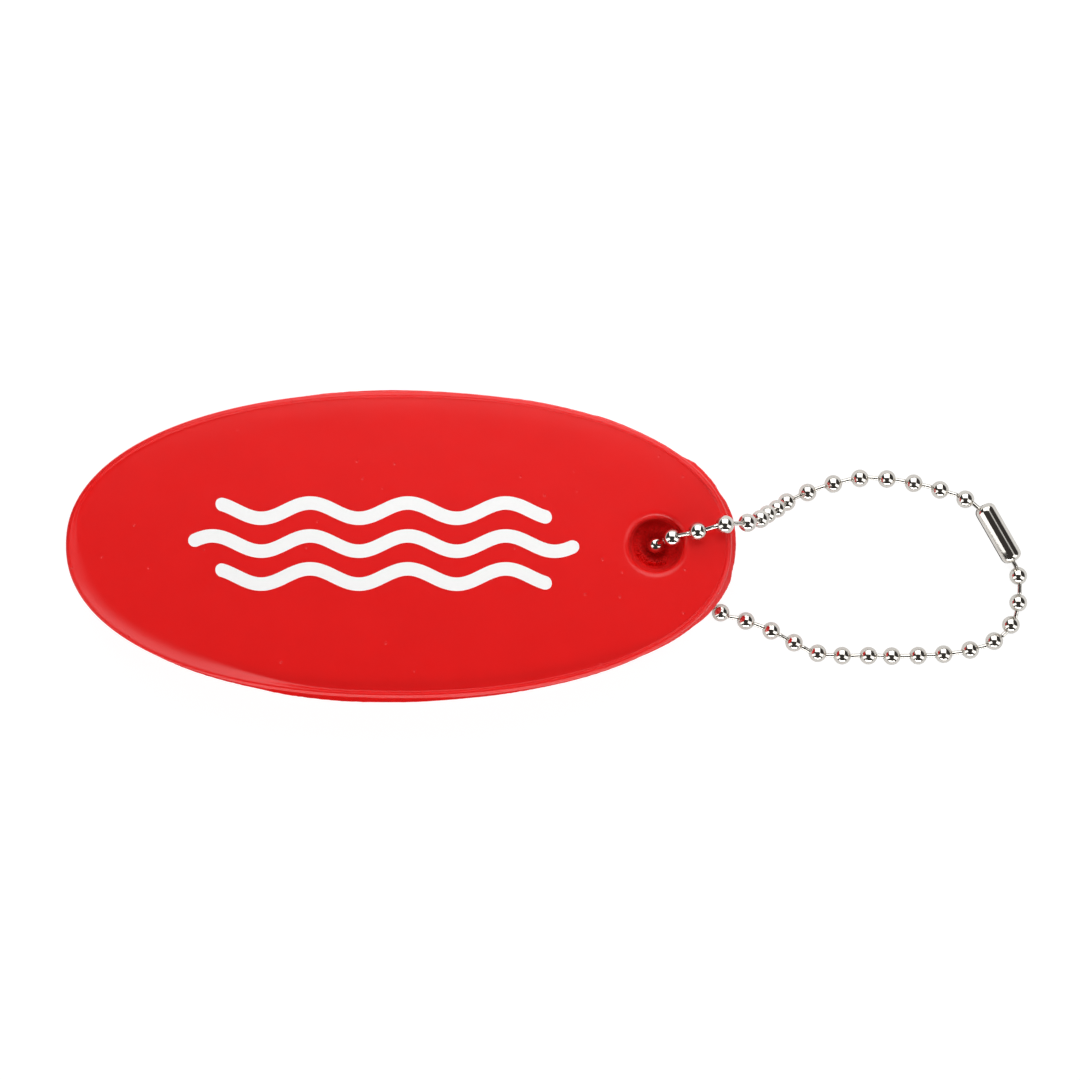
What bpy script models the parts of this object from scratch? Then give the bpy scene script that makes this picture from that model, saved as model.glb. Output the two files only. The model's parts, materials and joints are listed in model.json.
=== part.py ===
"""A floating keychain: a moulded foam float with a closed loop of ball chain through its eyelet.

The float is one piece of self-skinned foam. The chain is hollow beads, each with its link riveted in
one pole and its head loose inside the next bead, and a slotted sleeve couples the two end beads.
Everything is in metres. The float lies face up along X, with its right end resting on its own chain.
"""

import math

import bmesh
import bpy
from mathutils import Matrix, Vector

MM = 0.001

# Float, at its parting plane and without its flash
FLOAT_LENGTH = 87.5 * MM
FLOAT_WIDTH = 40.4 * MM
FLOAT_THICKNESS = 14.3 * MM
# Power of its outline: 2 is an ellipse, and more is fuller at the shoulders
OUTLINE_POWER = 2.17
WALL_DRAFT = 0.2 * MM
FACE_DROP = 0.5 * MM
RIM_OUTER = 0.4 * MM
RIM_INNER = 1.1 * MM
FLOAT_STEPS = 72

# Flash, trimmed along the parting line in straight cuts. Each corner between two cuts is given by its
# direction in degrees from +X, measured round the outline, and by how far the flash stands out there
FLASH_THICKNESS = 0.3 * MM
FLASH_EDGE = 0.2 * MM
FLASH_CORNERS = (
    (0, 0.85), (9, 0.93), (15, 0.83), (18, 0.63), (21, 0.80), (30, 0.66), (33, 0.35), (45, 0.33),
    (54, 0.40), (57, 0.30), (69, 0.32), (74, 0.23), (82, 0.30), (91, 0.43), (101, 0.39), (109, 0.22),
    (110, 0.34), (116, 0.20), (117, 0.30), (120, 0.18), (121, 0.30), (138, 0.12), (140, 0.06),
    (216, 0.10), (232, 0.22), (246, 0.29), (252, 0.52), (262, 0.67), (272, 0.59), (279, 0.45),
    (289, 0.28), (293, 0.10), (316, 0.05), (324, 0.36), (331, 0.45), (335, 0.70), (349, 1.08),
    (352, 0.83), (360, 0.85),
)

# Eyelet, moulded from both faces to a thin web at the parting plane
EYELET_TO_TIP = 10.05 * MM
EYELET_MOUTH = 3.8 * MM
EYELET_LIP = 0.55 * MM
EYELET_DRAFT = 0.6 * MM
WEB_HOLE = 2.0 * MM
WEB_THICKNESS = 0.5 * MM
LIP_ANGLES = (0, 30, 55, 75)
EYELET_STEPS = 28

# Ball chain
BEAD_RADIUS = 1.2 * MM
BEAD_WALL = 0.2 * MM
TAUT_PITCH = 3.65 * MM
SLACK_PITCH = 3.5 * MM
LINK_RADIUS = 0.21 * MM
LINK_HOLE_PLAY = 0.15 * MM
HEAD_RADIUS = 0.4 * MM
HEAD_DEPTH = 0.72 * MM
NECK_FLARE = 0.06 * MM
NECK_RISE = 0.12 * MM
BEAD_STEPS = 10

# Coupling, a slotted sleeve with closed-in ends
COUPLING_LENGTH = 8.6 * MM
COUPLING_WALL = 0.18 * MM
COUPLING_PLAY = 0.06 * MM
COUPLING_CORNER = 0.9 * MM
COUPLING_SLOT_PLAY = 0.21 * MM
COUPLING_END_HOLE = 0.5 * MM
COUPLING_WINDOW = 1.0 * MM
COUPLING_STEPS = 20
COUPLING_PLACE = (36.76 * MM, 1.75 * MM)
COUPLING_TURN = math.radians(-60.2)

# Where the chain touches the float
CONTACT_GAP = 0.05 * MM
CREST_OVERHANG = 0.24 * MM
TOP_STRAND_TURN = math.radians(16.6)
LOW_STRAND_TURN = math.radians(-45.5)
# How far the upper strand turns on by the lip, in the bore and over the web, as shares of its turn
TOP_STRAND_DRIFT = (1.15, 1.5, 2.0)
# Where each strand touches the lip, in degrees round it from the face
TOP_LIP_TOUCHES = (12, 48, 85)
LOW_LIP_TOUCHES = (80, 45)
# Distance from the eyelet's axis over, in and under the web, as shares of the web hole's radius
OVER_WEB, IN_WEB, UNDER_WEB = 0.15, 0.1, 0.6

# Chain on the table, from the float's right tip and its centre line: the course of the upper strand, and
# each bead of the lower one, whose links lie slack and so at uneven distances
UPPER_STRAND = ((32.1, 6.45), (25.1, 8.55), (17.9, 9.15), (11.3, 7.35))
LOWER_BEADS = (
    (-0.77, -9.01), (2.65, -10.13), (6.08, -11.46), (9.17, -13.07), (12.35, -14.49), (15.67, -14.82),
    (19.22, -14.82), (22.37, -14.89), (25.95, -14.82), (29.4, -14.62), (32.98, -14.05), (36.23, -12.86),
    (38.5, -10.67), (39.5, -7.66), (39.5, -4.04),
)
# Its fall from the float's rim: from the tip, from the centre line, and share of the rim's height
FALL = ((8.1, 6.0, 0.10), (6.5, 5.1, 0.29), (5.0, 4.4, 0.48), (3.8, 3.8, 0.685), (1.8, 3.3, 0.88))

CURVE_STEPS = 24

# Hinge lines across the loop, one between each bead of a strand and the next
FOLDS = 8

RED = (0.86, 0.05, 0.06, 1.0)
NICKEL = (0.76, 0.75, 0.73, 1.0)

COUPLING_RADIUS = BEAD_RADIUS + COUPLING_PLAY + COUPLING_WALL
TIP = FLOAT_LENGTH / 2
EYELET_X = TIP - EYELET_TO_TIP
HALF = FLOAT_THICKNESS / 2
CREST_INSET = WALL_DRAFT + RIM_OUTER
POLE = BEAD_RADIUS - BEAD_WALL / 2


def material(name, colour, metallic, roughness):
    made = bpy.data.materials.new(name)
    made.use_nodes = True
    shader = made.node_tree.nodes["Principled BSDF"]
    shader.inputs["Base Color"].default_value = colour
    shader.inputs["Metallic"].default_value = metallic
    shader.inputs["Roughness"].default_value = roughness
    made.diffuse_color = colour
    return made


def object_from(name, bm, group, finish):
    """A smooth-shaded object of a finished bmesh, in its group."""
    bmesh.ops.recalc_face_normals(bm, faces=bm.faces)
    mesh = bpy.data.meshes.new(name)
    bm.to_mesh(mesh)
    bm.free()
    mesh.shade_smooth()
    mesh.set_sharp_from_angle(angle=math.radians(40))
    mesh.materials.append(finish)
    made = bpy.data.objects.new(name, mesh)
    group.objects.link(made)
    return made


def turned(points, steps):
    """A bmesh of a profile of (radius, height) points turned once about Z."""
    bm = bmesh.new()
    verts = [bm.verts.new((radius, 0, height)) for radius, height in points]
    edges = [bm.edges.new(pair) for pair in zip(verts, verts[1:])]
    bmesh.ops.spin(
        bm, geom=verts + edges, cent=(0, 0, 0), axis=(0, 0, 1), dvec=(0, 0, 0),
        angle=math.tau, steps=steps, use_merge=True,
    )
    bmesh.ops.remove_doubles(bm, verts=bm.verts, dist=1e-7)
    return bm


def arc(radius, start, end, steps):
    """(radius, height) points of a circle about the origin, by angle from its lowest pole."""
    angles = [start + (end - start) * step / steps for step in range(steps + 1)]
    return [(radius * math.sin(angle), -radius * math.cos(angle)) for angle in angles]


# Pose of the float

def crest_axes():
    """Half length and half width of the rim's crest."""
    return FLOAT_LENGTH / 2 - CREST_INSET, FLOAT_WIDTH / 2 - CREST_INSET


def crest_reach(turn):
    """Distance from the eyelet's axis to the rim's crest, in a direction from +X."""
    length, width = crest_axes()
    least, most = 0, FLOAT_LENGTH
    for _ in range(48):
        reach = (least + most) / 2
        along = abs(EYELET_X + reach * math.cos(turn)) / length
        across = abs(reach * math.sin(turn)) / width
        if along ** OUTLINE_POWER + across ** OUTLINE_POWER < 1:
            least = reach
        else:
            most = reach
    return reach


def outline_slope(place, half):
    """One part of the outline's outward gradient at a place on it, for a half length or half width."""
    return math.copysign(abs(place / half) ** (OUTLINE_POWER - 1) / half, place)


def float_place():
    """Matrix of the float: one point of its rim is on the chain, the opposite one on the ground."""
    length, width = crest_axes()
    reach = crest_reach(LOW_STRAND_TURN)
    x = EYELET_X + reach * math.cos(LOW_STRAND_TURN)
    y = reach * math.sin(LOW_STRAND_TURN)
    lift = BEAD_RADIUS + CONTACT_GAP / 2
    up = Vector((-lift * outline_slope(x, length), -lift * outline_slope(y, width), 1)).normalized()
    turn = Vector((0, 0, 1)).rotation_difference(up).to_matrix().to_4x4()
    return Matrix.Translation(Vector((0, 0, lift)) + up * HALF) @ turn


# Float

def flash_reach(degrees):
    """How far the flash stands out, in straight facets between the corners."""
    after = next(n for n, corner in enumerate(FLASH_CORNERS) if corner[0] > degrees)
    (start, first), (end, last) = FLASH_CORNERS[after - 1], FLASH_CORNERS[after]
    return (first + (last - first) * (degrees - start) / (end - start)) * MM


def rim_profile():
    """(inset from the parting line, height) from the flash's root up to the flat face."""
    face_inset = CREST_INSET + RIM_INNER
    return (
        (0, FLASH_THICKNESS / 2),
        (WALL_DRAFT * 0.25, HALF * 0.5),
        (WALL_DRAFT, HALF - 1.4 * RIM_OUTER),
        (WALL_DRAFT + 0.35 * RIM_OUTER, HALF - 0.45 * RIM_OUTER),
        (CREST_INSET, HALF),
        (CREST_INSET + 0.3 * RIM_INNER, HALF - 0.3 * FACE_DROP),
        (CREST_INSET + 0.65 * RIM_INNER, HALF - 0.85 * FACE_DROP),
        (face_inset, HALF - FACE_DROP),
    )


def rounded(share):
    """A sine or cosine raised so that it follows the float's outline."""
    return math.copysign(abs(share) ** (2 / OUTLINE_POWER), share)


def oval_ring(ring, insets, height):
    """Moves a ring of points onto the float's outline, each inset by its own amount."""
    for step, vert in enumerate(ring):
        angle = math.tau * step / len(ring)
        x = (FLOAT_LENGTH / 2 - insets[step]) * rounded(math.cos(angle))
        y = (FLOAT_WIDTH / 2 - insets[step]) * rounded(math.sin(angle))
        vert.co = (x, y, height)


def float_half(bm, side):
    """Rings from the flash's edge up (side 1) or down (side -1) to a closed face. Returns the first."""
    reaches = [-flash_reach(360 * step / FLOAT_STEPS) for step in range(FLOAT_STEPS)]
    ring = bmesh.ops.create_circle(bm, segments=FLOAT_STEPS, radius=FLOAT_LENGTH / 2)["verts"]
    oval_ring(ring, reaches, side * FLASH_EDGE / 2)
    first = list(ring)
    for inset, height in rim_profile():
        edges = [bm.edges.get((ring[n - 1], ring[n])) for n in range(FLOAT_STEPS)]
        made = bmesh.ops.extrude_edge_only(bm, edges=edges)["geom"]
        fresh = {vert for vert in made if isinstance(vert, bmesh.types.BMVert)}
        ring = [
            next(edge.other_vert(vert) for edge in vert.link_edges if edge.other_vert(vert) in fresh)
            for vert in ring
        ]
        oval_ring(ring, [inset] * FLOAT_STEPS, side * height)
    bmesh.ops.contextual_create(bm, geom=ring)
    return first


def cut_from(body, name, bm, place, cutters, finish):
    """Cuts a shape out of a body, and returns the cutter."""
    cutter = object_from(name, bm, cutters, finish)
    cutter.hide_render = True
    cutter.display_type = "WIRE"
    cutter.matrix_world = place
    cut = body.modifiers.new(name, "BOOLEAN")
    cut.operation = "DIFFERENCE"
    cut.solver = "EXACT"
    cut.object = cutter
    return cutter


def eyelet_profile():
    """(radius, height) points of a plug the shape of both recesses and the hole in their web."""
    face = HALF - FACE_DROP
    bore = EYELET_MOUTH - EYELET_DRAFT
    lip = [
        (EYELET_MOUTH + EYELET_LIP * (1 - math.cos(angle)), face - EYELET_LIP * (1 - math.sin(angle)))
        for angle in map(math.radians, LIP_ANGLES)
    ]
    clear = (lip[-1][0], HALF + EYELET_LIP)
    upper = [(0, clear[1]), clear] + lip[::-1] + [(bore, WEB_THICKNESS / 2), (WEB_HOLE, WEB_THICKNESS / 2)]
    return upper + [(radius, -height) for radius, height in reversed(upper)]


def float_body(group, cutters, finish):
    """The moulded float, with rim, flash and eyelet."""
    bm = bmesh.new()
    upper, lower = float_half(bm, 1), float_half(bm, -1)
    for n in range(FLOAT_STEPS):
        bm.faces.new((upper[n - 1], upper[n], lower[n], lower[n - 1]))
    made = object_from("float_body", bm, group, finish)
    made.matrix_world = float_place()
    plug = turned(eyelet_profile(), EYELET_STEPS)
    place = float_place() @ Matrix.Translation((EYELET_X, 0, 0))
    return made, [cut_from(made, "eyelet_cutter", plug, place, cutters, finish)]


# Course of the chain

def coupling_place():
    """Matrix of the coupling, with +Z along it towards its lower end and +X out of its slot."""
    along = Vector((math.cos(COUPLING_TURN), math.sin(COUPLING_TURN), 0))
    slot = Vector((along.y, -along.x, 0))
    turn = Matrix((slot, along.cross(slot), along)).transposed().to_4x4()
    place = Vector((TIP + COUPLING_PLACE[0], COUPLING_PLACE[1], COUPLING_RADIUS))
    return Matrix.Translation(place) @ turn


def over_float(distance, turn, height):
    """A place by its distance and direction from the eyelet's axis, and its height on the float."""
    x = EYELET_X + distance * math.cos(turn)
    return float_place() @ Vector((x, distance * math.sin(turn), height))


def round_lip(turn, side, angle):
    """A bead's place against the eyelet's lip: angle 0 is beside the face, 90 degrees in the bore."""
    centre = EYELET_MOUTH + EYELET_LIP
    clear = EYELET_LIP + BEAD_RADIUS + 2 * CONTACT_GAP
    height = HALF - FACE_DROP - EYELET_LIP + clear * math.cos(math.radians(angle))
    return over_float(centre - clear * math.sin(math.radians(angle)), turn, side * height)


def on_table(place):
    return Vector((place.x, place.y, BEAD_RADIUS))


def route():
    """The chain's course from the coupling to the eyelet's web, the web, the course on under the float,
    and the beads from there to the coupling's lower end."""
    seat = COUPLING_LENGTH / 2 - COUPLING_WALL - COUPLING_PLAY - BEAD_RADIUS
    clear = BEAD_RADIUS + CONTACT_GAP
    by_lip, in_bore, by_web = [TOP_STRAND_TURN * share for share in TOP_STRAND_DRIFT]
    crest = over_float(crest_reach(TOP_STRAND_TURN) + CREST_OVERHANG, TOP_STRAND_TURN, HALF + clear)
    lip = over_float(EYELET_MOUTH + EYELET_LIP + BEAD_RADIUS, by_lip, HALF - FACE_DROP + clear)
    rise = crest.z - BEAD_RADIUS
    taut = [coupling_place() @ Vector((0, 0, -seat))]
    taut += [on_table(Vector((TIP + x * MM, y * MM, 0))) for x, y in UPPER_STRAND]
    taut += [Vector((TIP + x * MM, y * MM, BEAD_RADIUS + share * rise)) for x, y, share in FALL]
    taut += [crest, lip]
    taut += [round_lip(in_bore, 1, angle) for angle in TOP_LIP_TOUCHES]
    taut.append(over_float(OVER_WEB * WEB_HOLE, by_web, HALF / 2))
    web = over_float(IN_WEB * WEB_HOLE, LOW_STRAND_TURN, 0)
    under = [over_float(UNDER_WEB * WEB_HOLE, LOW_STRAND_TURN, -HALF / 2)]
    under += [round_lip(LOW_STRAND_TURN, -1, angle) for angle in LOW_LIP_TOUCHES]
    under.append(on_table(over_float(EYELET_MOUTH + 2 * BEAD_RADIUS, LOW_STRAND_TURN, -HALF)))
    under.append(on_table(over_float(crest_reach(LOW_STRAND_TURN), LOW_STRAND_TURN, -HALF)))
    slack = [on_table(Vector((TIP + x * MM, y * MM, 0))) for x, y in LOWER_BEADS]
    slack.append(coupling_place() @ Vector((0, 0, seat)))
    return taut, web, under, slack


def smooth(points, steps):
    """A curve through the points, cut into short straight steps."""
    padded = [2 * points[0] - points[1]] + points + [2 * points[-1] - points[-2]]
    curve = [points[0]]
    for before, start, end, after in zip(padded, padded[1:], padded[2:], padded[3:]):
        span = (end - start).length
        leave = (end - before).normalized() * span
        arrive = (after - start).normalized() * span
        for step in range(1, steps + 1):
            t = step / steps
            curve.append(
                start * (2 * t ** 3 - 3 * t ** 2 + 1) + leave * (t ** 3 - 2 * t ** 2 + t)
                + end * (3 * t ** 2 - 2 * t ** 3) + arrive * (t ** 3 - t ** 2)
            )
    return curve


def walked(curve, pitch, count):
    """Places along the curve, each one pitch from the last, and how many fit."""
    places = [curve[0]]
    piece = 1
    here = curve[0]
    while piece < len(curve) and len(places) < count:
        end = curve[piece]
        if (end - places[-1]).length < pitch:
            here = end
            piece += 1
            continue
        run = end - here
        back = here - places[-1]
        square, half = run.length_squared, back.dot(run)
        share = (math.sqrt(half ** 2 - square * (back.length_squared - pitch ** 2)) - half) / square
        here = here + run * share
        places.append(here)
    return places


def spread(curve, pitch):
    """Bead centres at one even pitch along the curve, near the pitch given, from end to end."""
    length = sum((end - start).length for start, end in zip(curve, curve[1:]))
    count = round(length / pitch) + 1
    short, long = 0.9 * length / count, 1.1 * length / (count - 1)
    for _ in range(48):
        even = (short + long) / 2
        if len(walked(curve, even, count)) < count:
            long = even
        else:
            short = even
    return walked(curve, short, count)[:-1] + [curve[-1]]


def bead_places():
    """Bead centres: the upper strand hangs taut from the web, and the lower one lies slack."""
    taut, web, under, slack = route()
    curve = smooth(taut + [web] + under + slack[:2], CURVE_STEPS)
    for place in curve:
        place.z = max(place.z, BEAD_RADIUS)
    middle = CURVE_STEPS * len(taut)
    out = middle + CURVE_STEPS * (len(under) + 1)
    places = spread(curve[:middle + 1], TAUT_PITCH) + spread(curve[middle:out + 1], SLACK_PITCH)[1:]
    return places + slack[1:]


def bead_axes(places):
    """Direction of each bead's poles, halfway between the links on its two sides."""
    steps = [(end - start).normalized() for start, end in zip(places, places[1:])]
    middle = [(before + after).normalized() for before, after in zip(steps, steps[1:])]
    return [steps[0]] + middle + [steps[-1]]


# Chain

def bead_shell(top_inside, top_outside):
    """(radius, height) points down a shell's inside, round the hole in its lower pole and up outside."""
    inner = BEAD_RADIUS - BEAD_WALL
    hole = LINK_RADIUS + LINK_HOLE_PLAY
    inside = arc(inner, math.asin(hole / inner), math.pi - math.asin(top_inside / inner), 4)
    outside = arc(
        BEAD_RADIUS, math.asin(hole / BEAD_RADIUS), math.pi - math.asin(top_outside / BEAD_RADIUS), 5
    )
    return inside[::-1] + outside


def linked_profile(link):
    """A shell with its link, of this length from pole to head, standing in its upper pole."""
    stalk_end = POLE + link - math.sqrt(HEAD_RADIUS ** 2 - LINK_RADIUS ** 2)
    stalk = [(LINK_RADIUS, BEAD_RADIUS + NECK_RISE), (LINK_RADIUS, stalk_end)]
    head = [
        (radius, POLE + link + height)
        for radius, height in arc(HEAD_RADIUS, math.radians(70), math.pi, 2)
    ]
    return bead_shell(0, LINK_RADIUS + NECK_FLARE) + stalk + head


def open_profile():
    """The last bead's shell, which holds no link of its own: both its poles are open."""
    hole = LINK_RADIUS + LINK_HOLE_PLAY
    shell = bead_shell(hole, hole)
    return shell + shell[:1]


def bead(name, place, axis, lead, group, finish):
    """A bead with its poles along axis. lead runs from its pole to the next bead's, or is None."""
    upright = axis.to_track_quat("Z", "Y")
    if lead is None:
        bm = turned(open_profile(), BEAD_STEPS)
    else:
        bm = turned(linked_profile(lead.length + HEAD_DEPTH), BEAD_STEPS)
        lean = Vector((0, 0, 1)).rotation_difference(upright.inverted() @ lead)
        link = [vert for vert in bm.verts if vert.co.z > BEAD_RADIUS + NECK_RISE / 2]
        bmesh.ops.rotate(bm, verts=link, cent=(0, 0, POLE), matrix=lean.to_matrix())
    made = object_from(name, bm, group, finish)
    made.matrix_world = Matrix.Translation(place) @ upright.to_matrix().to_4x4()
    return made


def chain(group, finish):
    """Every bead, in order from the coupling's upper end to its lower end."""
    places = bead_places()
    axes = bead_axes(places)
    into = [place - axis * POLE for place, axis in zip(places, axes)]
    out = [place + axis * POLE for place, axis in zip(places, axes)]
    leads = [end - start for start, end in zip(out, into[1:])] + [None]
    beads = [
        bead(f"bead_{n:02d}", place, axis, lead, group, finish)
        for n, (place, axis, lead) in enumerate(zip(places, axes, leads), 1)
    ]
    return beads, into


def coupling_shell():
    """(radius, height) points of the sleeve's wall, with a round opening in each end."""
    half = COUPLING_LENGTH / 2
    corner = [math.radians(90) * step / 4 for step in range(5)]
    outer_side, outer_corner = COUPLING_RADIUS, COUPLING_CORNER
    inner_side, inner_corner = COUPLING_RADIUS - COUPLING_WALL, COUPLING_CORNER - COUPLING_WALL
    outer, inner = [], []
    for angle in corner:
        outer.append((
            outer_side - outer_corner * (1 - math.sin(angle)),
            half - outer_corner * (1 - math.cos(angle)),
        ))
        inner.append((
            inner_side - inner_corner * (1 - math.sin(angle)),
            half - COUPLING_WALL - inner_corner * (1 - math.cos(angle)),
        ))
    upper = [(COUPLING_END_HOLE, half)] + outer
    lower = [(radius, -height) for radius, height in reversed(upper)]
    bottom = [(COUPLING_END_HOLE, COUPLING_WALL - half)] + [(radius, -height) for radius, height in inner]
    top = inner[::-1] + [(COUPLING_END_HOLE, half - COUPLING_WALL), (COUPLING_END_HOLE, half)]
    return upper + lower + bottom + top


def coupling(group, cutters, finish):
    """The sleeve, its slot for the links and the window that a bead goes in by."""
    made = object_from("coupling", turned(coupling_shell(), COUPLING_STEPS), group, finish)
    made.matrix_world = coupling_place()
    slot = bmesh.new()
    width = 2 * (LINK_RADIUS + COUPLING_SLOT_PLAY)
    bmesh.ops.create_cube(slot, size=1)
    bmesh.ops.scale(slot, verts=slot.verts, vec=(2 * COUPLING_RADIUS, width, 2 * COUPLING_LENGTH))
    bmesh.ops.translate(slot, verts=slot.verts, vec=(COUPLING_RADIUS, 0, 0))
    window = bmesh.new()
    bmesh.ops.create_cone(
        window, cap_ends=True, segments=COUPLING_STEPS, radius1=COUPLING_WINDOW,
        radius2=COUPLING_WINDOW, depth=2 * COUPLING_RADIUS,
    )
    bmesh.ops.rotate(window, verts=window.verts, cent=(0, 0, 0), matrix=Matrix.Rotation(math.pi / 2, 3, "Y"))
    bmesh.ops.translate(window, verts=window.verts, vec=(COUPLING_RADIUS, 0, 0))
    return made, [
        cut_from(made, "slot_cutter", slot, coupling_place(), cutters, finish),
        cut_from(made, "window_cutter", window, coupling_place(), cutters, finish),
    ]


# Carriers, whose origins are the hinge points and whose Z axes are the hinge lines

def carrier(name, place, axis, group):
    made = bpy.data.objects.new(name, None)
    made.empty_display_size = 2 * BEAD_RADIUS
    made.matrix_world = Matrix.Translation(place) @ axis.to_track_quat("Z", "Y").to_matrix().to_4x4()
    group.objects.link(made)
    return made


def carry(obj, above):
    """Parents an object that is already in its place."""
    obj.parent = above
    obj.matrix_parent_inverse = above.matrix_basis.inverted()


def fold_chain(beads, holes, swing, group):
    """Carries the beads by the swing and the loop's hinge lines, and returns the last of these.

    Each hinge line runs through a link hole of the upper strand and the one facing it in the lower
    strand, and carries one bead of each. The last one carries the whole end of the loop.
    """
    facing = len(beads) - 3
    for obj in beads[FOLDS:facing - FOLDS]:
        carry(obj, swing)
    above = swing
    for fold in range(1, FOLDS + 1):
        upper = FOLDS + 1 - fold
        lower = facing - upper
        start, end = holes[upper], holes[lower - 1]
        line = (end - start).normalized()
        hinge = carrier(f"loop_fold_{fold}", (start + end) / 2, line, group)
        carry(hinge, above)
        carried = beads[:1] + beads[lower - 1:] if fold == FOLDS else [beads[upper - 1], beads[lower - 1]]
        for obj in carried:
            carry(obj, hinge)
        above = hinge
    return above


def centre_on_footprint(origin, solids):
    """Moves everything so that the footprint's centre is at the origin and its base at zero."""
    bpy.context.view_layer.update()
    graph = bpy.context.evaluated_depsgraph_get()
    corners = [
        obj.matrix_world @ vert.co for obj in solids for vert in obj.evaluated_get(graph).data.vertices
    ]
    low = Vector([min(corner[n] for corner in corners) for n in range(3)])
    high = Vector([max(corner[n] for corner in corners) for n in range(3)])
    origin.location = (-(low.x + high.x) / 2, -(low.y + high.y) / 2, -low.z)
    bpy.context.view_layer.update()


def main():
    for old in list(bpy.data.objects):
        bpy.data.objects.remove(old, do_unlink=True)
    parts = bpy.data.collections.new("floating_keychain")
    cutters = bpy.data.collections.new("cutters")
    for group in (parts, cutters):
        bpy.context.scene.collection.children.link(group)
    foam = material("red_foam", RED, 0.0, 0.42)
    nickel = material("nickel_plate", NICKEL, 1.0, 0.12)

    body, body_cutters = float_body(parts, cutters, foam)
    beads, holes = chain(parts, nickel)
    sleeve, sleeve_cutters = coupling(parts, cutters, nickel)

    upright = Vector((0, 0, 1))
    origin = carrier("keychain", Vector((0, 0, 0)), upright, parts)
    place = float_place()
    swing = carrier("chain_swing", place @ Vector((EYELET_X, 0, 0)), place.to_3x3() @ upright, parts)
    for obj in [body, swing] + body_cutters:
        carry(obj, origin)
    last = fold_chain(beads, holes, swing, parts)
    place = coupling_place()
    spin = carrier("coupling_spin", place.translation, place.to_3x3() @ upright, parts)
    carry(spin, last)
    for obj in [sleeve] + sleeve_cutters:
        carry(obj, spin)
    centre_on_footprint(origin, [body, sleeve] + beads)


main()
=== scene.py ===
import json
import math

import bmesh
import bpy
from mathutils import Matrix, Vector, noise


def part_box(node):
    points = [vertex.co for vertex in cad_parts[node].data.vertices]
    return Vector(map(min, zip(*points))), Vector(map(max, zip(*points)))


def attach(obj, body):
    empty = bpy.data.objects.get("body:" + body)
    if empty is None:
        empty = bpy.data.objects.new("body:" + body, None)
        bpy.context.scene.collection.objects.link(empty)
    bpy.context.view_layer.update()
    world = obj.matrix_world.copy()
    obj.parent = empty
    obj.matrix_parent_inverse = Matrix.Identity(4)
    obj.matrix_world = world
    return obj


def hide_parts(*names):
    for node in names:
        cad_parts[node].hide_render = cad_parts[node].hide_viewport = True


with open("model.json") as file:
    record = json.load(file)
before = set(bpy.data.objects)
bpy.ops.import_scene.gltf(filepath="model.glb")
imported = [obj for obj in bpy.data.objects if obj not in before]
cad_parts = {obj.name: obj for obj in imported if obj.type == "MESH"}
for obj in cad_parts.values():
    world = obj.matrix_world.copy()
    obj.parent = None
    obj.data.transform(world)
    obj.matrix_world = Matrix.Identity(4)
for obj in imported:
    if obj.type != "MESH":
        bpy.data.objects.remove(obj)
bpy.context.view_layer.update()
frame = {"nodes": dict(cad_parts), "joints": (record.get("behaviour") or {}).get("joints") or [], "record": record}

# Looks of the floating keychain: a float of self-skinned foam, red all through, with a white print,
# on a loop of nickel-plated ball chain. Lengths are in millimetres and are turned to metres by MM.
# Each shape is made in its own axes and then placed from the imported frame.

MM = 0.001
NODES = frame["nodes"]
BODY_OF = {node: body for body, nodes in frame["record"]["behaviour"]["bodies"].items() for node in nodes}

# Float, at its parting plane and without its flash
FLOAT_HALF_LENGTH = 43.75
FLOAT_HALF_WIDTH = 20.2
OUTLINE_POWER = 2.17
FACE_HEIGHT = 6.65
WALL_DRAFT = 0.2
AROUND = 640

# Rim round each face, with the widths of its round outside and of its slope inside
RIM_HEIGHT = 7.15
RIM_OUTER = 0.55
RIM_INNER = 0.26

# Stretches of the outline: each has a pair of degrees over which it softly begins, and a pair over which
# it softly ends, counted from the eyelet's end round by the upper side
GROOVE_STRETCH = ((0, 30), (150, 180))
LOW_RIM_STRETCH = ((300, 330), (150, 175))
BROAD_SLOPE_STRETCH = ((165, 195), (225, 262))
FLASH_FILLET_STRETCH = ((305, 335), (25, 60))
RAISED_WEB_STRETCH = ((165, 200), (285, 320))
# On the first, the skin sinks this much beside the rim, and comes back over this width
GROOVE_DEPTH = 0.1
GROOVE_WIDTH = 7.0
# On the second, the rim of the upper half is this much lower
LOW_RIM = 0.36
# On the third, the slope inside the rim is this much broader, and takes this share of the round outside
BROAD_SLOPE = 2.1
ROUND_TAKEN = 0.3

# The two halves of the mould didn't quite meet: the upper half is off by this much, which sets in
# between these heights on the wall and in the eyelet
MOULD_SHIFT = (0.3, 0.2)
WALL_SHIFT_HEIGHTS = (0.3, 1.5)
EYELET_SHIFT_HEIGHTS = (0.5, 2.5)

# Eyelet: a recess in each face with a rounded lip, and a web between the two
EYELET_X = 33.7
EYELET_MOUTH = 3.55
EYELET_BOTTOM = 3.2
EYELET_LIP = 0.85
WEB_EDGE = 2.85
WEB_TOP = 2.9
WEB_BASE = 0.5
WEB_MIDDLE = (WEB_TOP - WEB_BASE) / 2
# The recess's wall ends this much over the web, and rounds off to it: (out from the web's edge, up) points
WALL_FOOT = 0.3
WEB_ROUND = ((0.27, 0.12), (0.1, 0.05))
# The web's lumps, how much higher they stand where its flash is, and how ragged its torn edge is
WEB_LUMPS = 0.25
WEB_FLASH = 1.3
WEB_TEARS = 0.12
# The web is torn round the ball that sits in it, a little off the eyelet's axis
TEAR_CENTRE = (0.14, -0.14)
TEAR_RADIUS = 0.9
TEAR_HEIGHT = 1.68
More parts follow.
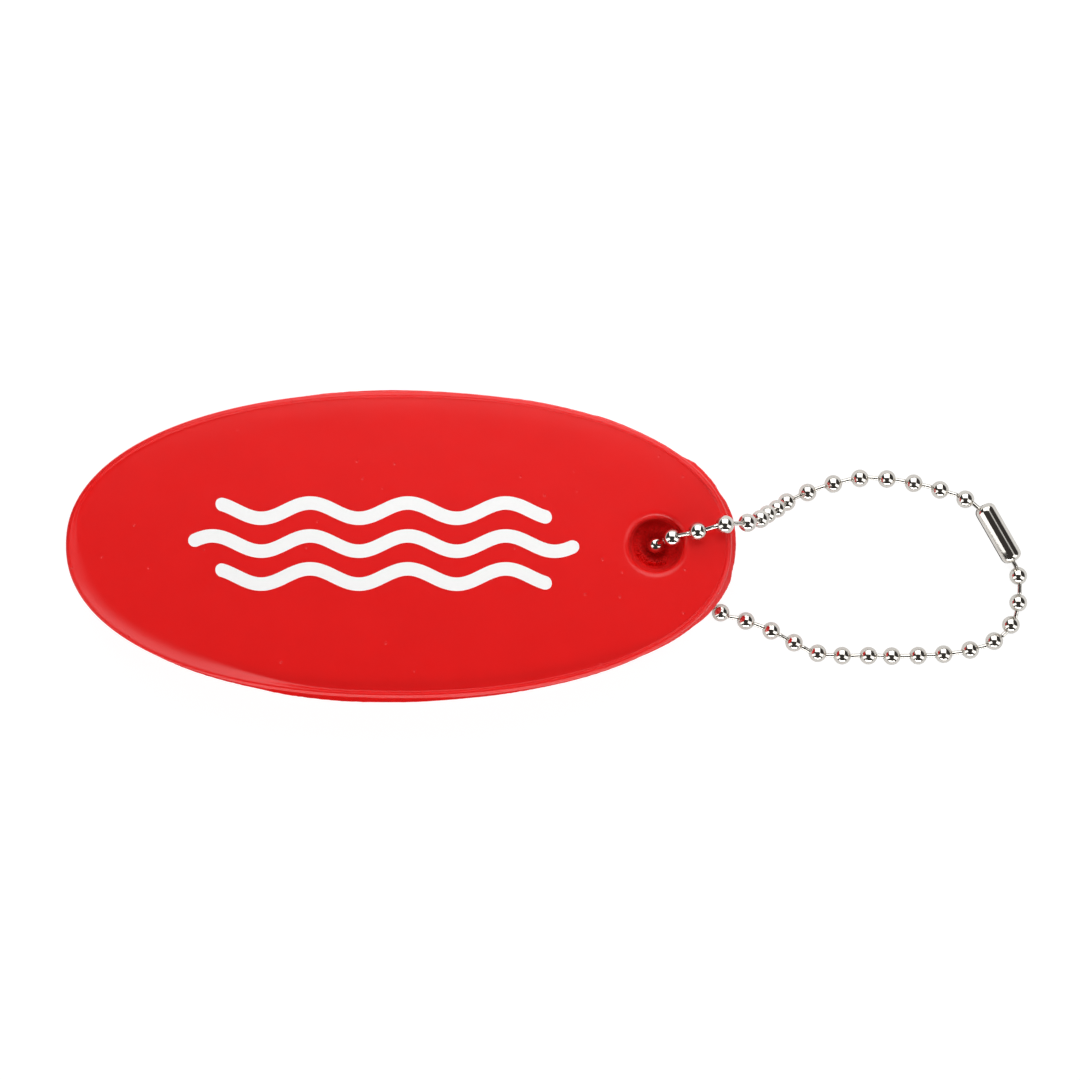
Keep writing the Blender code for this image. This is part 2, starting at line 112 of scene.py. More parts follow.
# Under its torn edge the web is hollow round the ball: (radius, height) points of the hollow's wall, its
# radius and its half height at the parting plane, and how far below that plane its lower edge begins
HOLLOW_WALL = ((1.3, 1.1), (1.45, 0.5))
HOLLOW_RADIUS = 1.5
HOLLOW_MIDDLE = 0.12
HOLLOW_EDGE = 0.4

# Flash: half the thickness of its edge and of its root, how much thicker the root's fillet is for each
# millimetre that it stands out, how deep its edge is torn, and the least that it stands out
FLASH_EDGE = 0.07
FLASH_ROOT = 0.16
FLASH_FILLET = 0.9
FLASH_TEARS = 0.04
FLASH_LEAST = 0.04

# Corners of the flash's straight knife cuts, in degrees round the outline, and how far it stands out
FLASH_CORNERS = (
    (0, 0.92), (9, 1.00), (15, 0.90), (18, 0.74), (21, 0.88), (30, 0.90), (33, 0.50), (45, 0.47),
    (54, 0.54), (57, 0.42), (69, 0.42), (74, 0.31), (82, 0.38), (91, 0.54), (101, 0.46), (109, 0.29),
    (110, 0.38), (116, 0.20), (117, 0.24), (120, 0.10), (121, 0.18), (138, 0.06), (141, 0.10),
    (149, 0.52), (162, 0.48), (175, 0.20), (216, 0.08), (232, 0.22), (246, 0.29), (252, 0.50),
    (262, 0.62), (272, 0.52), (279, 0.32), (289, 0.20), (293, 0.14), (316, 0.09), (324, 0.36),
    (331, 0.48), (335, 0.72), (349, 0.98), (352, 0.80), (360, 0.92),
)

# Ball chain. A pin's rivet is in its own ball, and its head lies this far inside the next one
BALL_RADIUS = 1.2
BALL_WALL = 0.2
PIN_RADIUS = 0.29
PIN_HOLE = 0.41
PIN_HOLE_FLARE = 0.06
PIN_HEAD = 0.44
PIN_HEAD_DEPTH = 0.72
RIVET = ((0, -0.32), (0.3, -0.3), (0.4, -0.2), (0.4, -0.08), (0.24, 0.0))
# A ball's centre is fitted to the points of its solid that lie within these shares of its radius
FIT_BAND = (0.93, 1.06)
FIT_ROUNDS = 30
FIT_STEP = 1.5

# Scales of the marks in the nickel, along X, Y and Z: even on the balls, long and thin on the coupling
BALL_MARKS = (1.0, 1.0, 1.0)
SLEEVE_MARKS = (1.0, 6.0, 1.0)

# Coupling
SLEEVE_LENGTH = 8.6
SLEEVE_RADIUS = 1.44
SLEEVE_WALL = 0.18
SLEEVE_CORNER = 0.9
SLEEVE_MOUTH = 0.42
SLEEVE_SEAM = 0.8


# Tools for every piece

def piece_from(name, bm, place, body, finish, stands_for):
    """An object of a finished bmesh in millimetres, moved to its place in the frame, on its body."""
    bmesh.ops.transform(bm, matrix=place @ Matrix.Scale(MM, 4), verts=bm.verts)
    mesh = bpy.data.meshes.new(name)
    bm.to_mesh(mesh)
    bm.free()
    mesh.shade_smooth()
    mesh.set_sharp_from_angle(angle=math.radians(50))
    mesh.materials.append(finish)
    piece = bpy.data.objects.new(name, mesh)
    bpy.context.scene.collection.objects.link(piece)
    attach(piece, body)
    if stands_for:
        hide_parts(stands_for)
    return piece


def spun(points, steps, turn=math.tau):
    """A bmesh of a profile of (radius, height) points turned about Z."""
    bm = bmesh.new()
    verts = [bm.verts.new((radius, 0, height)) for radius, height in points]
    edges = [bm.edges.new(pair) for pair in zip(verts, verts[1:])]
    bmesh.ops.spin(
        bm, geom=verts + edges, cent=(0, 0, 0), axis=(0, 0, 1), dvec=(0, 0, 0),
        angle=turn, steps=steps, use_merge=turn == math.tau,
    )
    bmesh.ops.remove_doubles(bm, verts=bm.verts, dist=1e-5)
    return bm


def arc(centre, radius, start, end, steps):
    """(across, height) points of a circle, by angle in degrees from straight outwards."""
    angles = [math.radians(start + (end - start) * step / steps) for step in range(steps + 1)]
    return [(centre[0] + radius * math.cos(a), centre[1] + radius * math.sin(a)) for a in angles]


def between(value, low, high):
    """0 below low, 1 above high, and a soft rise from one to the other."""
    share = min(max((value - low) / (high - low), 0.0), 1.0)
    return share * share * (3 - 2 * share)


def on_stretch(degrees, stretch):
    """1 on a stretch of the outline and 0 off it, with soft ends. A stretch may run through 0 degrees."""
    begin, end = stretch
    risen, fallen = between(degrees, *begin), between(degrees, *end)
    return risen * (1 - fallen) if begin < end else risen + (1 - fallen)


# Materials

def linear(code):
    """Linear colour of an sRGB hex value."""
    parts = [int(code[n:n + 2], 16) / 255 for n in (1, 3, 5)]
    return [part / 12.92 if part <= 0.04045 else ((part + 0.055) / 1.055) ** 2.4 for part in parts] + [1]


def node(tree, kind, settings=(), links=()):
    """Adds one node, sets its properties or sockets by name, and links sockets to other nodes'."""
    made = tree.nodes.new(kind)
    for name, value in dict(settings).items():
        if isinstance(name, str) and hasattr(made, name):
            setattr(made, name, value)
        else:
            made.inputs[name].default_value = value
    for name, source in dict(links).items():
        tree.links.new(source, made.inputs[name])
    return made


def every(size):
    """Scale of a pattern whose features are a real size in millimetres."""
    return 1 / (size * MM)


def finish_named(name):
    """A new material, its node tree and its shader."""
    made = bpy.data.materials.new(name)
    made.use_nodes = True
    return made, made.node_tree, made.node_tree.nodes["Principled BSDF"]


def red_foam(torn_at):
    """Self-skinned EVA foam, injection moulded: a closed satin skin, faintly uneven, with fine pits."""
    made, tree, shader = finish_named("red_self_skinned_foam")
    where = node(tree, "ShaderNodeTexCoord").outputs["Object"]
    # The dye is a little uneven over a few millimetres
    cloud = node(tree, "ShaderNodeTexNoise", {"Scale": every(5.556), "Detail": 3.0}, {"Vector": where})
    colour = node(
        tree, "ShaderNodeMix", {"data_type": "RGBA", 6: linear("#E40606"), 7: linear("#EC0A0A")},
        {0: cloud.outputs["Fac"]},
    )
    tree.links.new(colour.outputs[2], shader.inputs["Base Color"])
    # The mould's fine grit, about a third of a millimetre, breaks the sheen
    grit = node(tree, "ShaderNodeTexNoise", {"Scale": every(1 / 3), "Detail": 2.0}, {"Vector": where})
    sheen = node(
        tree, "ShaderNodeMapRange", {"To Min": 0.3, "To Max": 0.43}, {"Value": grit.outputs["Fac"]}
    )
    # There is no closed skin on the torn web and low down in the recess round it: matt open foam
    web = node(tree, "ShaderNodeVectorMath", {"operation": "DISTANCE", 1: torn_at}, {0: where})
    depth = node(
        tree, "ShaderNodeMapRange", {"From Min": 6.0 * MM, "From Max": 4.5 * MM},
        {"Value": web.outputs["Value"]},
    )
    matt = node(
        tree, "ShaderNodeMix", {"data_type": "FLOAT", 3: 0.95},
        {0: depth.outputs["Result"], 2: sheen.outputs["Result"]},
    )
    tree.links.new(matt.outputs[0], shader.inputs["Roughness"])
    # The skin shrinks in slow ripples of about 4 mm. Burst bubbles leave pits 0.3 mm across, 3 mm apart
    ripple = node(tree, "ShaderNodeTexNoise", {"Scale": every(4.0), "Detail": 2.0}, {"Vector": where})
    waves = node(
        tree, "ShaderNodeBump", {"Strength": 0.25, "Distance": 0.2 * MM}, {"Height": ripple.outputs["Fac"]}
    )
    grain = node(
        tree, "ShaderNodeBump", {"Strength": 0.12, "Distance": 0.04 * MM},
        {"Height": grit.outputs["Fac"], "Normal": waves.outputs["Normal"]},
    )
    pits = node(tree, "ShaderNodeTexVoronoi", {"Scale": every(3.03), "Randomness": 1.0}, {"Vector": where})
    deep = node(
        tree, "ShaderNodeMapRange", {"From Min": 0.03, "From Max": 0.07},
        {"Value": pits.outputs["Distance"]},
    )
    pitted = node(
        tree, "ShaderNodeBump", {"Strength": 0.6, "Distance": 0.1 * MM},
        {"Height": deep.outputs["Result"], "Normal": grain.outputs["Normal"]},
    )
    tree.links.new(pitted.outputs["Normal"], shader.inputs["Normal"])
    shader.inputs["IOR"].default_value = 1.5
    shader.inputs["Specular IOR Level"].default_value = 0.5
    # Light runs a little way through the dyed foam, and only red light comes out again
    shader.inputs["Subsurface Weight"].default_value = 0.3
    shader.inputs["Subsurface Radius"].default_value = (1.0, 0.06, 0.05)
    shader.inputs["Subsurface Scale"].default_value = 0.7 * MM
    return made


def white_ink():
    """Pad-printing ink: a thin opaque satin film that follows the skin under it."""
    made, tree, shader = finish_named("white_pad_print_ink")
    where = node(tree, "ShaderNodeTexCoord").outputs["Object"]
    # The ink's film is uneven over 0.4 mm, in its white, its sheen and its thickness
    grit = node(tree, "ShaderNodeTexNoise", {"Scale": every(0.4), "Detail": 3.0}, {"Vector": where})
    colour = node(
        tree, "ShaderNodeMix", {"data_type": "RGBA", 6: linear("#FAFAF9"), 7: linear("#FFFFFF")},
        {0: grit.outputs["Fac"]},
    )
    tree.links.new(colour.outputs[2], shader.inputs["Base Color"])
    sheen = node(
        tree, "ShaderNodeMapRange", {"To Min": 0.4, "To Max": 0.6}, {"Value": grit.outputs["Fac"]}
    )
    tree.links.new(sheen.outputs["Result"], shader.inputs["Roughness"])
    skin = node(
        tree, "ShaderNodeBump", {"Strength": 0.15, "Distance": 0.03 * MM}, {"Height": grit.outputs["Fac"]}
    )
    tree.links.new(skin.outputs["Normal"], shader.inputs["Normal"])
    return made


def nickel_plate(name, mark_scales):
    """Barrel-plated nickel on brass: mirror-like, warm grey, with fine tumbling scratches."""
    made, tree, shader = finish_named(name)
    where = node(tree, "ShaderNodeTexCoord").outputs["Object"]
    # The plating is a little cloudy over about a millimetre
    haze = node(tree, "ShaderNodeTexNoise", {"Scale": every(1.111), "Detail": 3.0}, {"Vector": where})
    colour = node(
        tree, "ShaderNodeMix", {"data_type": "RGBA", 6: linear("#D3CFC8"), 7: linear("#DEDBD5")},
        {0: haze.outputs["Fac"]},
    )
    tree.links.new(colour.outputs[2], shader.inputs["Base Color"])
    shader.inputs["Metallic"].default_value = 1.0
    sheen = node(
        tree, "ShaderNodeMapRange", {"To Min": 0.05, "To Max": 0.13}, {"Value": haze.outputs["Fac"]}
    )
    tree.links.new(sheen.outputs["Result"], shader.inputs["Roughness"])
    # Marks of the tumbling barrel, drawn coarser than real so that they show
    thin = node(tree, "ShaderNodeMapping", {"Scale": mark_scales}, {"Vector": where})
    marks = node(
        tree, "ShaderNodeTexNoise", {"Scale": every(2.5), "Detail": 4.0}, {"Vector": thin.outputs["Vector"]}
    )
    bump = node(
        tree, "ShaderNodeBump", {"Strength": 0.06, "Distance": 0.02 * MM}, {"Height": marks.outputs["Fac"]}
    )
    tree.links.new(bump.outputs["Normal"], shader.inputs["Normal"])
    return made


# Float

def flash_reach(degrees):
    """How far the flash stands out, in straight facets between the corners, with a torn edge."""
    after = next(n for n, corner in enumerate(FLASH_CORNERS) if corner[0] > degrees)
    (start, first), (end, last) = FLASH_CORNERS[after - 1], FLASH_CORNERS[after]
    cut = first + (last - first) * (degrees - start) / (end - start)
    ragged = noise.fractal(Vector((degrees * 0.9, 0.0, 3.0)), 1.0, 2.0, 3)
    return max(cut + FLASH_TEARS * ragged, FLASH_LEAST)


def on_outline(turn, inset, height):
    """A point of the float's outline, or inside it by the inset, at an angle round it."""
    along, across = [
        math.copysign(abs(share) ** (2 / OUTLINE_POWER), share)
        for share in (math.cos(turn), math.sin(turn))
    ]
    shift = between(height, *WALL_SHIFT_HEIGHTS)
    return Vector((
        (FLOAT_HALF_LENGTH - inset) * along + shift * MOULD_SHIFT[0],
        (FLOAT_HALF_WIDTH - inset) * across + shift * MOULD_SHIFT[1],
        height,
    ))


def on_eyelet(turn, radius, height):
    """A point round the recess's axis, or nearer the web's edge round its tear."""
    off = 1 - between(radius, TEAR_RADIUS, WEB_EDGE)
    shift = (1 - off) * between(height, *EYELET_SHIFT_HEIGHTS)
    return Vector((
        EYELET_X + radius * math.cos(turn) + off * TEAR_CENTRE[0] + shift * MOULD_SHIFT[0],
        radius * math.sin(turn) + off * TEAR_CENTRE[1] + shift * MOULD_SHIFT[1],
        height,
    ))


def groove(turn):
    """Depth of the groove beside the rim, which is only along the upper side."""
    return GROOVE_DEPTH * on_stretch(math.degrees(turn) % 360, GROOVE_STRETCH)


def rim_points(turn, side):
    """(inset, height) from the flash's edge over the rim and down to the sunken face."""
    degrees = math.degrees(turn) % 360
    # The skin sank further behind the rim at the lower left, so the slope to the face is broad there
    sunken = on_stretch(degrees, BROAD_SLOPE_STRETCH)
    inner = RIM_INNER + BROAD_SLOPE * sunken
    outer = RIM_OUTER * (1 - ROUND_TAKEN * sunken)
    # Round the float's upper side and the eyelet's end the upper half's rim is lower
    height = RIM_HEIGHT - (LOW_RIM * on_stretch(degrees, LOW_RIM_STRETCH) if side > 0 else 0)
    drop = height - FACE_HEIGHT + groove(turn)
    top = height - outer
    crest = WALL_DRAFT + outer
    # The flash is a thin flat edge, and only round the eyelet's end does it leave the wall in a fillet
    reach = flash_reach(degrees)
    root = FLASH_ROOT + FLASH_FILLET * reach * on_stretch(degrees, FLASH_FILLET_STRETCH)
    points = [(-reach, FLASH_EDGE), (-0.78 * reach, FLASH_EDGE + 0.2 * root)]
    points += [(-0.4 * reach, 0.5 * root), (0.0, root)]
    wall = 0.97 * top - root
    points += [(WALL_DRAFT * share, root + wall * share) for share in (0.2, 0.4, 0.6, 0.8)]
    points += [(crest - across, z) for across, z in arc((0, top), outer, 0, 90, 7)]
    # The slope is an even S, and where it is broad it falls at once and then levels out
    for share in (0.12, 0.25, 0.38, 0.5, 0.62, 0.75, 0.88, 1.0):
        fallen = sunken * (1 - (1 - share) ** 2) + (1 - sunken) * between(share, 0.0, 1.0)
        points.append((crest + inner * share, height - drop * fallen))
    return points


def eyelet_points(turn, side):
    """(radius, height) from the lip's edge down the recess and in to the torn edge of its web."""
    if side > 0:
        root, tear, edge = WEB_TOP, TEAR_RADIUS, TEAR_HEIGHT
    else:
        root, tear, edge = WEB_BASE, HOLLOW_RADIUS, HOLLOW_EDGE
    lip_foot = FACE_HEIGHT - EYELET_LIP
    points = [
        (EYELET_MOUTH + EYELET_LIP - across, height)
        for across, height in arc((0, lip_foot), EYELET_LIP, 90, 0, 7)
    ]
    # The wall narrows from just under the lip to just over the web, and rounds off to the web
    wall_top, wall_foot = lip_foot - 0.05, root + WALL_FOOT
    points += [
        (EYELET_MOUTH + (EYELET_BOTTOM - EYELET_MOUTH) * share, wall_top + (wall_foot - wall_top) * share)
        for share in (0.25, 0.5, 0.75, 1.0)
    ]
    points += [(WEB_EDGE + out, root + up) for out, up in WEB_ROUND]
    # The chain was pushed through the web: it is lumpy, and flash stands up on it at the lower left
    left = on_stretch(math.degrees(turn) % 360, RAISED_WEB_STRETCH)
    spot = Vector((math.cos(turn), math.sin(turn), 0.0))
    for share in (0.0, 0.12, 0.25, 0.38, 0.5, 0.62, 0.74, 0.87):
        radius = WEB_EDGE + (tear - WEB_EDGE) * share
        lump = noise.fractal(Vector((spot.x * radius, spot.y * radius, 9.0 * side)) * 1.7, 1.0, 2.0, 4)
        swell = WEB_LUMPS + WEB_FLASH * left * between(share, 0.0, 0.2) * (1 - between(share, 0.3, 0.6))
        fall = between(share, 0.25, 1.0)
        points.append((radius, root + (edge - root) * fall + abs(lump) * swell))
    # Its torn edge is ragged, and on the upper side it closes in over the ball
    torn = tear + WEB_TEARS * abs(noise.fractal(spot * 2.8, 1.0, 2.0, 4))
    if side > 0:
        points += [(torn, edge - 0.06), (torn - 0.03, edge - 0.18), *HOLLOW_WALL]
    else:
        points += [(torn, edge - 0.05), (torn - 0.03, edge - 0.12)]
    points.append((HOLLOW_RADIUS, HOLLOW_MIDDLE))
    return points


def float_section(turn):
    """The closed section from the flash over the top, through the eyelet and back under."""
    section = []
    for side in (1, -1):
        rim = [on_outline(turn, inset, side * height) for inset, height in rim_points(turn, side)]
        bore = [on_eyelet(turn, radius, side * height) for radius, height in eyelet_points(turn, side)]
        # The face's rows are closest together beside the rim, where the groove is
        face = []
        for share in (0.01, 0.03, 0.06, 0.1, 0.15, 0.22, 0.32, 0.45, 0.6, 0.8, 0.92, 0.98):
            spot = rim[-1].lerp(bore[0], share)
            sunk = groove(turn) * max(1 - (spot - rim[-1]).length / GROOVE_WIDTH, 0) ** 2
            face.append(Vector((spot.x, spot.y, side * (FACE_HEIGHT - sunk * (1 - share)))))
        half = rim + face + bore
        section += half if side > 0 else half[::-1]
    return section


def float_skin(place, finish):
    """The moulded float: a grid wrapped round the section, closed both ways."""
    sections = [float_section(math.tau * step / AROUND) for step in range(AROUND)]
    rows = len(sections[0])
    bm = bmesh.new()
    bmesh.ops.create_grid(bm, x_segments=AROUND, y_segments=rows, size=0.5)
    for vert in bm.verts:
        step, row = round((vert.co.x + 0.5) * AROUND), round((vert.co.y + 0.5) * rows)
        vert.co = sections[step % AROUND][row % rows]
    bmesh.ops.remove_doubles(bm, verts=bm.verts, dist=1e-5)
    bmesh.ops.recalc_face_normals(bm, faces=bm.faces)
    return piece_from("moulded_float", bm, place, "float", finish, "float_body")


# Print on the face: three plain wave lines in white ink

PRINT_CENTRE = (-1.6, 0.3)
WAVE_ROWS = ((4.3, 44.0), (0.0, 51.0), (-4.3, 44.0))
WAVE_LENGTH = 12.8
WAVE_HEIGHT = 1.0
WAVE_STEPS = 260
LINE_WIDTH = 1.75
INK_THICKNESS = 0.03


def wave_line(row, place, finish):
    """One printed line with round ends, a thin film bedded in the face."""
    offset, length = WAVE_ROWS[row]
    bm = bmesh.new()
    bmesh.ops.create_grid(bm, x_segments=WAVE_STEPS, y_segments=2, size=0.5)
    for vert in bm.verts:
        # Steps are finer near both ends, where the width follows a half circle
        share = 0.5 - 0.5 * math.cos(math.pi * (vert.co.x + 0.5))
        along = (share - 0.5) * length
        past = max(abs(along) - (length - LINE_WIDTH) / 2, 0)
        half = math.sqrt(max((LINE_WIDTH / 2) ** 2 - past ** 2, 0))
        turn = math.tau * along / WAVE_LENGTH
        slope = math.atan(WAVE_HEIGHT * math.tau / WAVE_LENGTH * math.cos(turn))
        across = 2 * vert.co.y * half
        vert.co = (
            PRINT_CENTRE[0] + along - across * math.sin(slope),
            PRINT_CENTRE[1] + offset + WAVE_HEIGHT * math.sin(turn) + across * math.cos(slope),
            FACE_HEIGHT - INK_THICKNESS,
        )
    bmesh.ops.remove_doubles(bm, verts=bm.verts, dist=1e-5)
    top = bmesh.ops.extrude_face_region(bm, geom=bm.faces[:])["geom"]
    lifted = [part for part in top if isinstance(part, bmesh.types.BMVert)]
    bmesh.ops.translate(bm, verts=lifted, vec=(0, 0, 2 * INK_THICKNESS))
    bmesh.ops.recalc_face_normals(bm, faces=bm.faces)
    return piece_from(f"printed_wave_{row + 1}", bm, place, "float", finish, None)


# Chain

def ball_centre(name, towards):
    """Centre of a CAD bead in metres, fitted to the points of its mesh that lie on its round outside.

    The first guess is a radius in from the side of its box where its own link, which goes towards the
    next bead, doesn't stick out. Each round then moves it by FIT_STEP times what the points still miss.
    """
    low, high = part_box(name)
    radius = BALL_RADIUS * MM
    centre = Vector([a + radius if ahead >= 0 else b - radius for a, b, ahead in zip(low, high, towards)])
    skin = [
        vert.co for vert in NODES[name].data.vertices
        if radius * FIT_BAND[0] < (vert.co - centre).length < radius * FIT_BAND[1]
    ]
    for _ in range(FIT_ROUNDS):
        pulls = [(point - centre) * (1 - radius / (point - centre).length) for point in skin]
        centre = centre + FIT_STEP * sum(pulls, Vector()) / len(pulls)
    return centre


def ball_profile():
    """(radius, height) points of a shell with its pole holes turned in, from its inside round."""
    inside = BALL_RADIUS - BALL_WALL
    open_in = math.degrees(math.acos(PIN_HOLE / inside))
    open_out = math.degrees(math.acos((PIN_HOLE + PIN_HOLE_FLARE) / BALL_RADIUS))
    inner = arc((0, 0), inside, open_in, -open_in, 14)
    outer = arc((0, 0), BALL_RADIUS, -open_out, open_out, 24)
    edge = 0.925 * BALL_RADIUS
    shell = inner + [(PIN_HOLE, -edge)] + outer + [(PIN_HOLE, edge)]
    return shell + shell[:1]


def pin_profile(length):
    """(radius, height) points of a link: a rivet head in its own ball, the wire, and its loose head."""
    wire = [(PIN_RADIUS, height) for height in (0.4, length - 0.9, length - 0.5)]
    head = arc((0, length), PIN_HEAD, -58, 90, 7)
    return [*RIVET, (PIN_RADIUS + 0.02, 0.2), *wire, *head]


def ball_with_pin(number, centre, axis, lead, finish):
    """A hollow ball with its poles along axis. lead runs from its pole to the next ball's, or is None."""
    name = f"bead_{number:02d}"
    upright = axis.to_track_quat("Z", "Y")
    bm = spun(ball_profile(), 40)
    if lead:
        pole = BALL_RADIUS - BALL_WALL / 2
        pin = spun(pin_profile(lead.length + PIN_HEAD_DEPTH), 16)
        lean = Vector((0, 0, 1)).rotation_difference(upright.inverted() @ lead)
        place = Matrix.Translation((0, 0, pole)) @ lean.to_matrix().to_4x4()
        bmesh.ops.transform(pin, matrix=place, verts=pin.verts)
        loose = bpy.data.meshes.new("pin")
        pin.to_mesh(loose)
        pin.free()
        bm.from_mesh(loose)
        bpy.data.meshes.remove(loose)
    bmesh.ops.recalc_face_normals(bm, faces=bm.faces)
    place = Matrix.Translation(centre) @ upright.to_matrix().to_4x4()
    return piece_from(f"ball_{number:02d}", bm, place, BODY_OF[name], finish, name)


def ball_chain(finish):
    """Every ball of the chain, in order from the coupling's upper end to its lower end."""
    names = sorted(name for name in NODES if name.startswith("bead_"))
    middles = [(low + high) / 2 for low, high in map(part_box, names)]
    ahead = [end - start for start, end in zip(middles, middles[1:])] + [Vector((0, 0, 1))]
    centres = [ball_centre(name, towards) for name, towards in zip(names, ahead)]
    steps = [(end - start).normalized() for start, end in zip(centres, centres[1:])]
    axes = [(before + after).normalized() for before, after in zip(steps[:1] + steps, steps + steps[-1:])]
    pole = (BALL_RADIUS - BALL_WALL / 2) * MM
    for n, (centre, axis) in enumerate(zip(centres, axes)):
        lead = None
        if n + 1 < len(centres):
            lead = ((centres[n + 1] - axes[n + 1] * pole) - (centre + axis * pole)) / MM
        ball_with_pin(n + 1, centre, axis, lead, finish)
    return centres


def coupling_sleeve(centres, finish):
    """The coupling: strip rolled to a tube with closed-in ends, its seam facing the chain's loop."""
    half = SLEEVE_LENGTH / 2
    corner = (SLEEVE_RADIUS - SLEEVE_CORNER, half - SLEEVE_CORNER)
    outer = [(SLEEVE_MOUTH, half)] + arc(corner, SLEEVE_CORNER, 90, 0, 8)
    inner = arc(corner, SLEEVE_CORNER - SLEEVE_WALL, 0, 90, 8) + [(SLEEVE_MOUTH, half - SLEEVE_WALL)]
    sides = [(SLEEVE_RADIUS, height) for height in (2.4, 1.2, 0, -1.2, -2.4)]
    section = outer + sides + [(radius, -height) for radius, height in outer[::-1]]
    section += [(radius, -height) for radius, height in inner[::-1]]
    section += [(SLEEVE_RADIUS - SLEEVE_WALL, height) for _, height in sides[::-1]] + inner
    seam = 2 * math.asin(SLEEVE_SEAM / 2 / SLEEVE_RADIUS)
    bm = spun(section + section[:1], 60, math.tau - seam)
    bmesh.ops.rotate(bm, verts=bm.verts, cent=(0, 0, 0), matrix=Matrix.Rotation(seam / 2, 3, "Z"))
    bmesh.ops.holes_fill(bm, edges=[edge for edge in bm.edges if edge.is_boundary])
    bmesh.ops.recalc_face_normals(bm, faces=bm.faces)
    along = (centres[-1] - centres[0]).normalized()
    slot = Vector((along.y, -along.x, 0)).normalized()
    turn = Matrix((slot, along.cross(slot), along)).transposed().to_4x4()
    place = Matrix.Translation((centres[0] + centres[-1]) / 2) @ turn
    return piece_from("coupling_sleeve", bm, place, "coupling", finish, "coupling")


# Studio

PICTURE_CENTRE = (-1.66, 0.756)
CAMERA_SPOT = (-3.6, 7.0)
CAMERA_HEIGHT = 400.0
VIEW_WIDTH = 146.54
SENSOR = 36.0

# Softboxes: azimuth from +X and elevation, in degrees, distance, width and height, and power in watts
SOFTBOXES = {
    "far_softbox": (87, 43, 235, (300, 273), 0.59),
    "left_softbox": (205, 31, 600, (290, 560), 0.9),
    "right_softbox": (-25, 35, 600, (290, 590), 1.0),
    "strip_light": (30, 59, 700, (560, 150), 0.18),
    "front_softbox": (270, 18, 600, (700, 120), 2.1),
}

# White table, and its own light: how strong that is, and its share of what the camera and what a mirror
# see of the table
TABLE_RADIUS = 6000.0
TABLE_GLOW = 1.16
GLOW_SEEN = 0.78
GLOW_MIRRORED = 0.3


def camera():
    """Looks straight down. The photograph is a crop, so its middle isn't right under the camera."""
    made = bpy.data.objects.new("camera", bpy.data.cameras.new("camera"))
    made.data.sensor_width = SENSOR
    made.data.lens = SENSOR * CAMERA_HEIGHT / VIEW_WIDTH
    made.data.shift_x = (PICTURE_CENTRE[0] - CAMERA_SPOT[0]) / VIEW_WIDTH
    made.data.shift_y = (PICTURE_CENTRE[1] - CAMERA_SPOT[1]) / VIEW_WIDTH
    made.data.clip_start = 0.01
    made.location = Vector((*CAMERA_SPOT, CAMERA_HEIGHT)) * MM
    bpy.context.scene.collection.objects.link(made)
    bpy.context.scene.camera = made


def softbox(name, azimuth, elevation, distance, size, power):
    """A rectangle of even light aimed at the object, which the camera doesn't see."""
    lamp = bpy.data.lights.new(name, "AREA")
    lamp.shape = "RECTANGLE"
    lamp.size, lamp.size_y = size[0] * MM, size[1] * MM
    lamp.energy = power
    made = bpy.data.objects.new(name, lamp)
    turn, rise = math.radians(azimuth), math.radians(elevation)
    away = Vector((math.cos(turn) * math.cos(rise), math.sin(turn) * math.cos(rise), math.sin(rise)))
    made.location = away * distance * MM
    made.rotation_euler = away.to_track_quat("Z", "Y").to_euler()
    made.visible_camera = False
    bpy.context.scene.collection.objects.link(made)


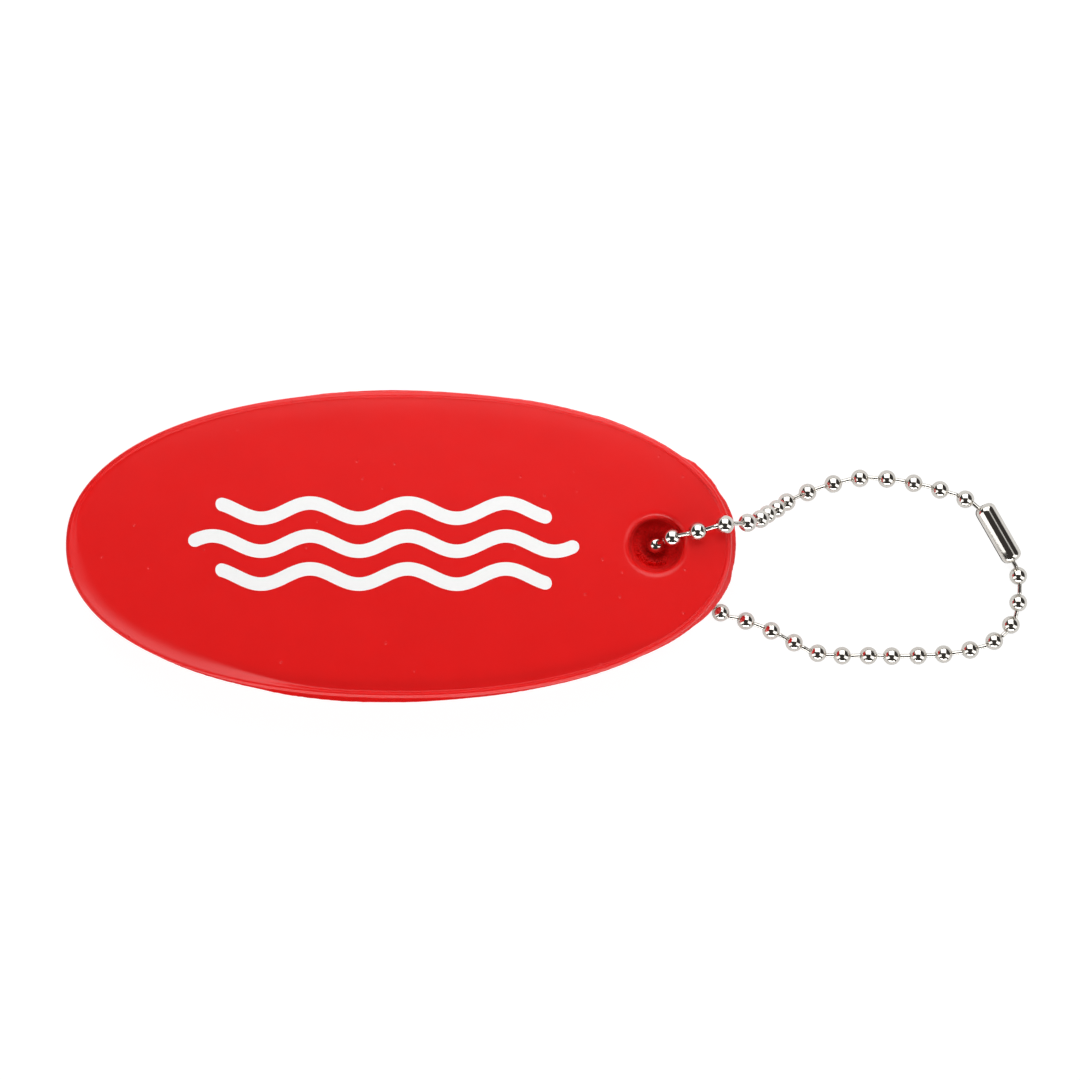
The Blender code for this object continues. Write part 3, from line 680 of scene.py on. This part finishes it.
def floor():
    """Plain white table. Part of its light is its own, so that it looks white and keeps a faint shadow."""
    bm = bmesh.new()
    bmesh.ops.create_circle(bm, cap_ends=True, segments=64, radius=TABLE_RADIUS * MM)
    mesh = bpy.data.meshes.new("table")
    bm.to_mesh(mesh)
    bm.free()
    made = bpy.data.objects.new("table", mesh)
    finish, tree, shader = finish_named("matt_white_table")
    shader.inputs["Base Color"].default_value = linear("#EDEDED")
    shader.inputs["Roughness"].default_value = 0.9
    shader.inputs["Specular IOR Level"].default_value = 0.0
    path = node(tree, "ShaderNodeLightPath")
    mirrored = node(
        tree, "ShaderNodeMath", {"operation": "MULTIPLY", 1: GLOW_MIRRORED},
        {0: path.outputs["Is Glossy Ray"]},
    )
    share = node(
        tree, "ShaderNodeMath", {"operation": "MULTIPLY_ADD", 1: GLOW_SEEN},
        {0: path.outputs["Is Camera Ray"], 2: mirrored.outputs[0]},
    )
    glow = node(tree, "ShaderNodeEmission", {"Strength": TABLE_GLOW})
    mixed = node(
        tree, "ShaderNodeMixShader", (),
        {0: share.outputs[0], 1: shader.outputs[0], 2: glow.outputs[0]},
    )
    tree.links.new(mixed.outputs[0], tree.nodes["Material Output"].inputs["Surface"])
    mesh.materials.append(finish)
    bpy.context.scene.collection.objects.link(made)


def studio_air():
    """World: white near the horizon, dark overhead, as a studio with a white sweep and a dark ceiling."""
    world = bpy.data.worlds.new("studio")
    world.use_nodes = True
    bpy.context.scene.world = world
    tree = world.node_tree
    where = node(tree, "ShaderNodeTexCoord").outputs["Generated"]
    height = node(tree, "ShaderNodeSeparateXYZ", (), {"Vector": where})
    rise = node(
        tree, "ShaderNodeMapRange", {"From Min": 0.04, "From Max": 0.14}, {"Value": height.outputs["Z"]}
    )
    shade = node(
        tree, "ShaderNodeMix", {"data_type": "RGBA", 6: linear("#F2F2F2"), 7: linear("#3E3B39")},
        {0: rise.outputs["Result"]},
    )
    tree.links.new(shade.outputs[2], tree.nodes["Background"].inputs["Color"])


bpy.context.scene.view_settings.view_transform = "Standard"
camera()
floor()
studio_air()
for name, setting in SOFTBOXES.items():
    softbox(name, *setting)

joints = {joint["name"]: joint for joint in frame["joints"]}
swing = joints["chain_swing"]
upright = Vector(swing["axis"]).normalized()
float_place = (
    Matrix.Translation(swing["pos_m"])
    @ Vector((0, 0, 1)).rotation_difference(upright).to_matrix().to_4x4()
    @ Matrix.Translation((-EYELET_X * MM, 0, 0))
)
foam = red_foam(float_place @ Vector((EYELET_X * MM, 0, WEB_MIDDLE * MM)))
ink = white_ink()
plate = nickel_plate("nickel_plated_balls", BALL_MARKS)
sleeve_plate = nickel_plate("nickel_plated_sleeve", SLEEVE_MARKS)

float_skin(float_place, foam)
for row in range(len(WAVE_ROWS)):
    wave_line(row, float_place, ink)
centres = ball_chain(plate)
coupling_sleeve(centres, sleeve_plate)
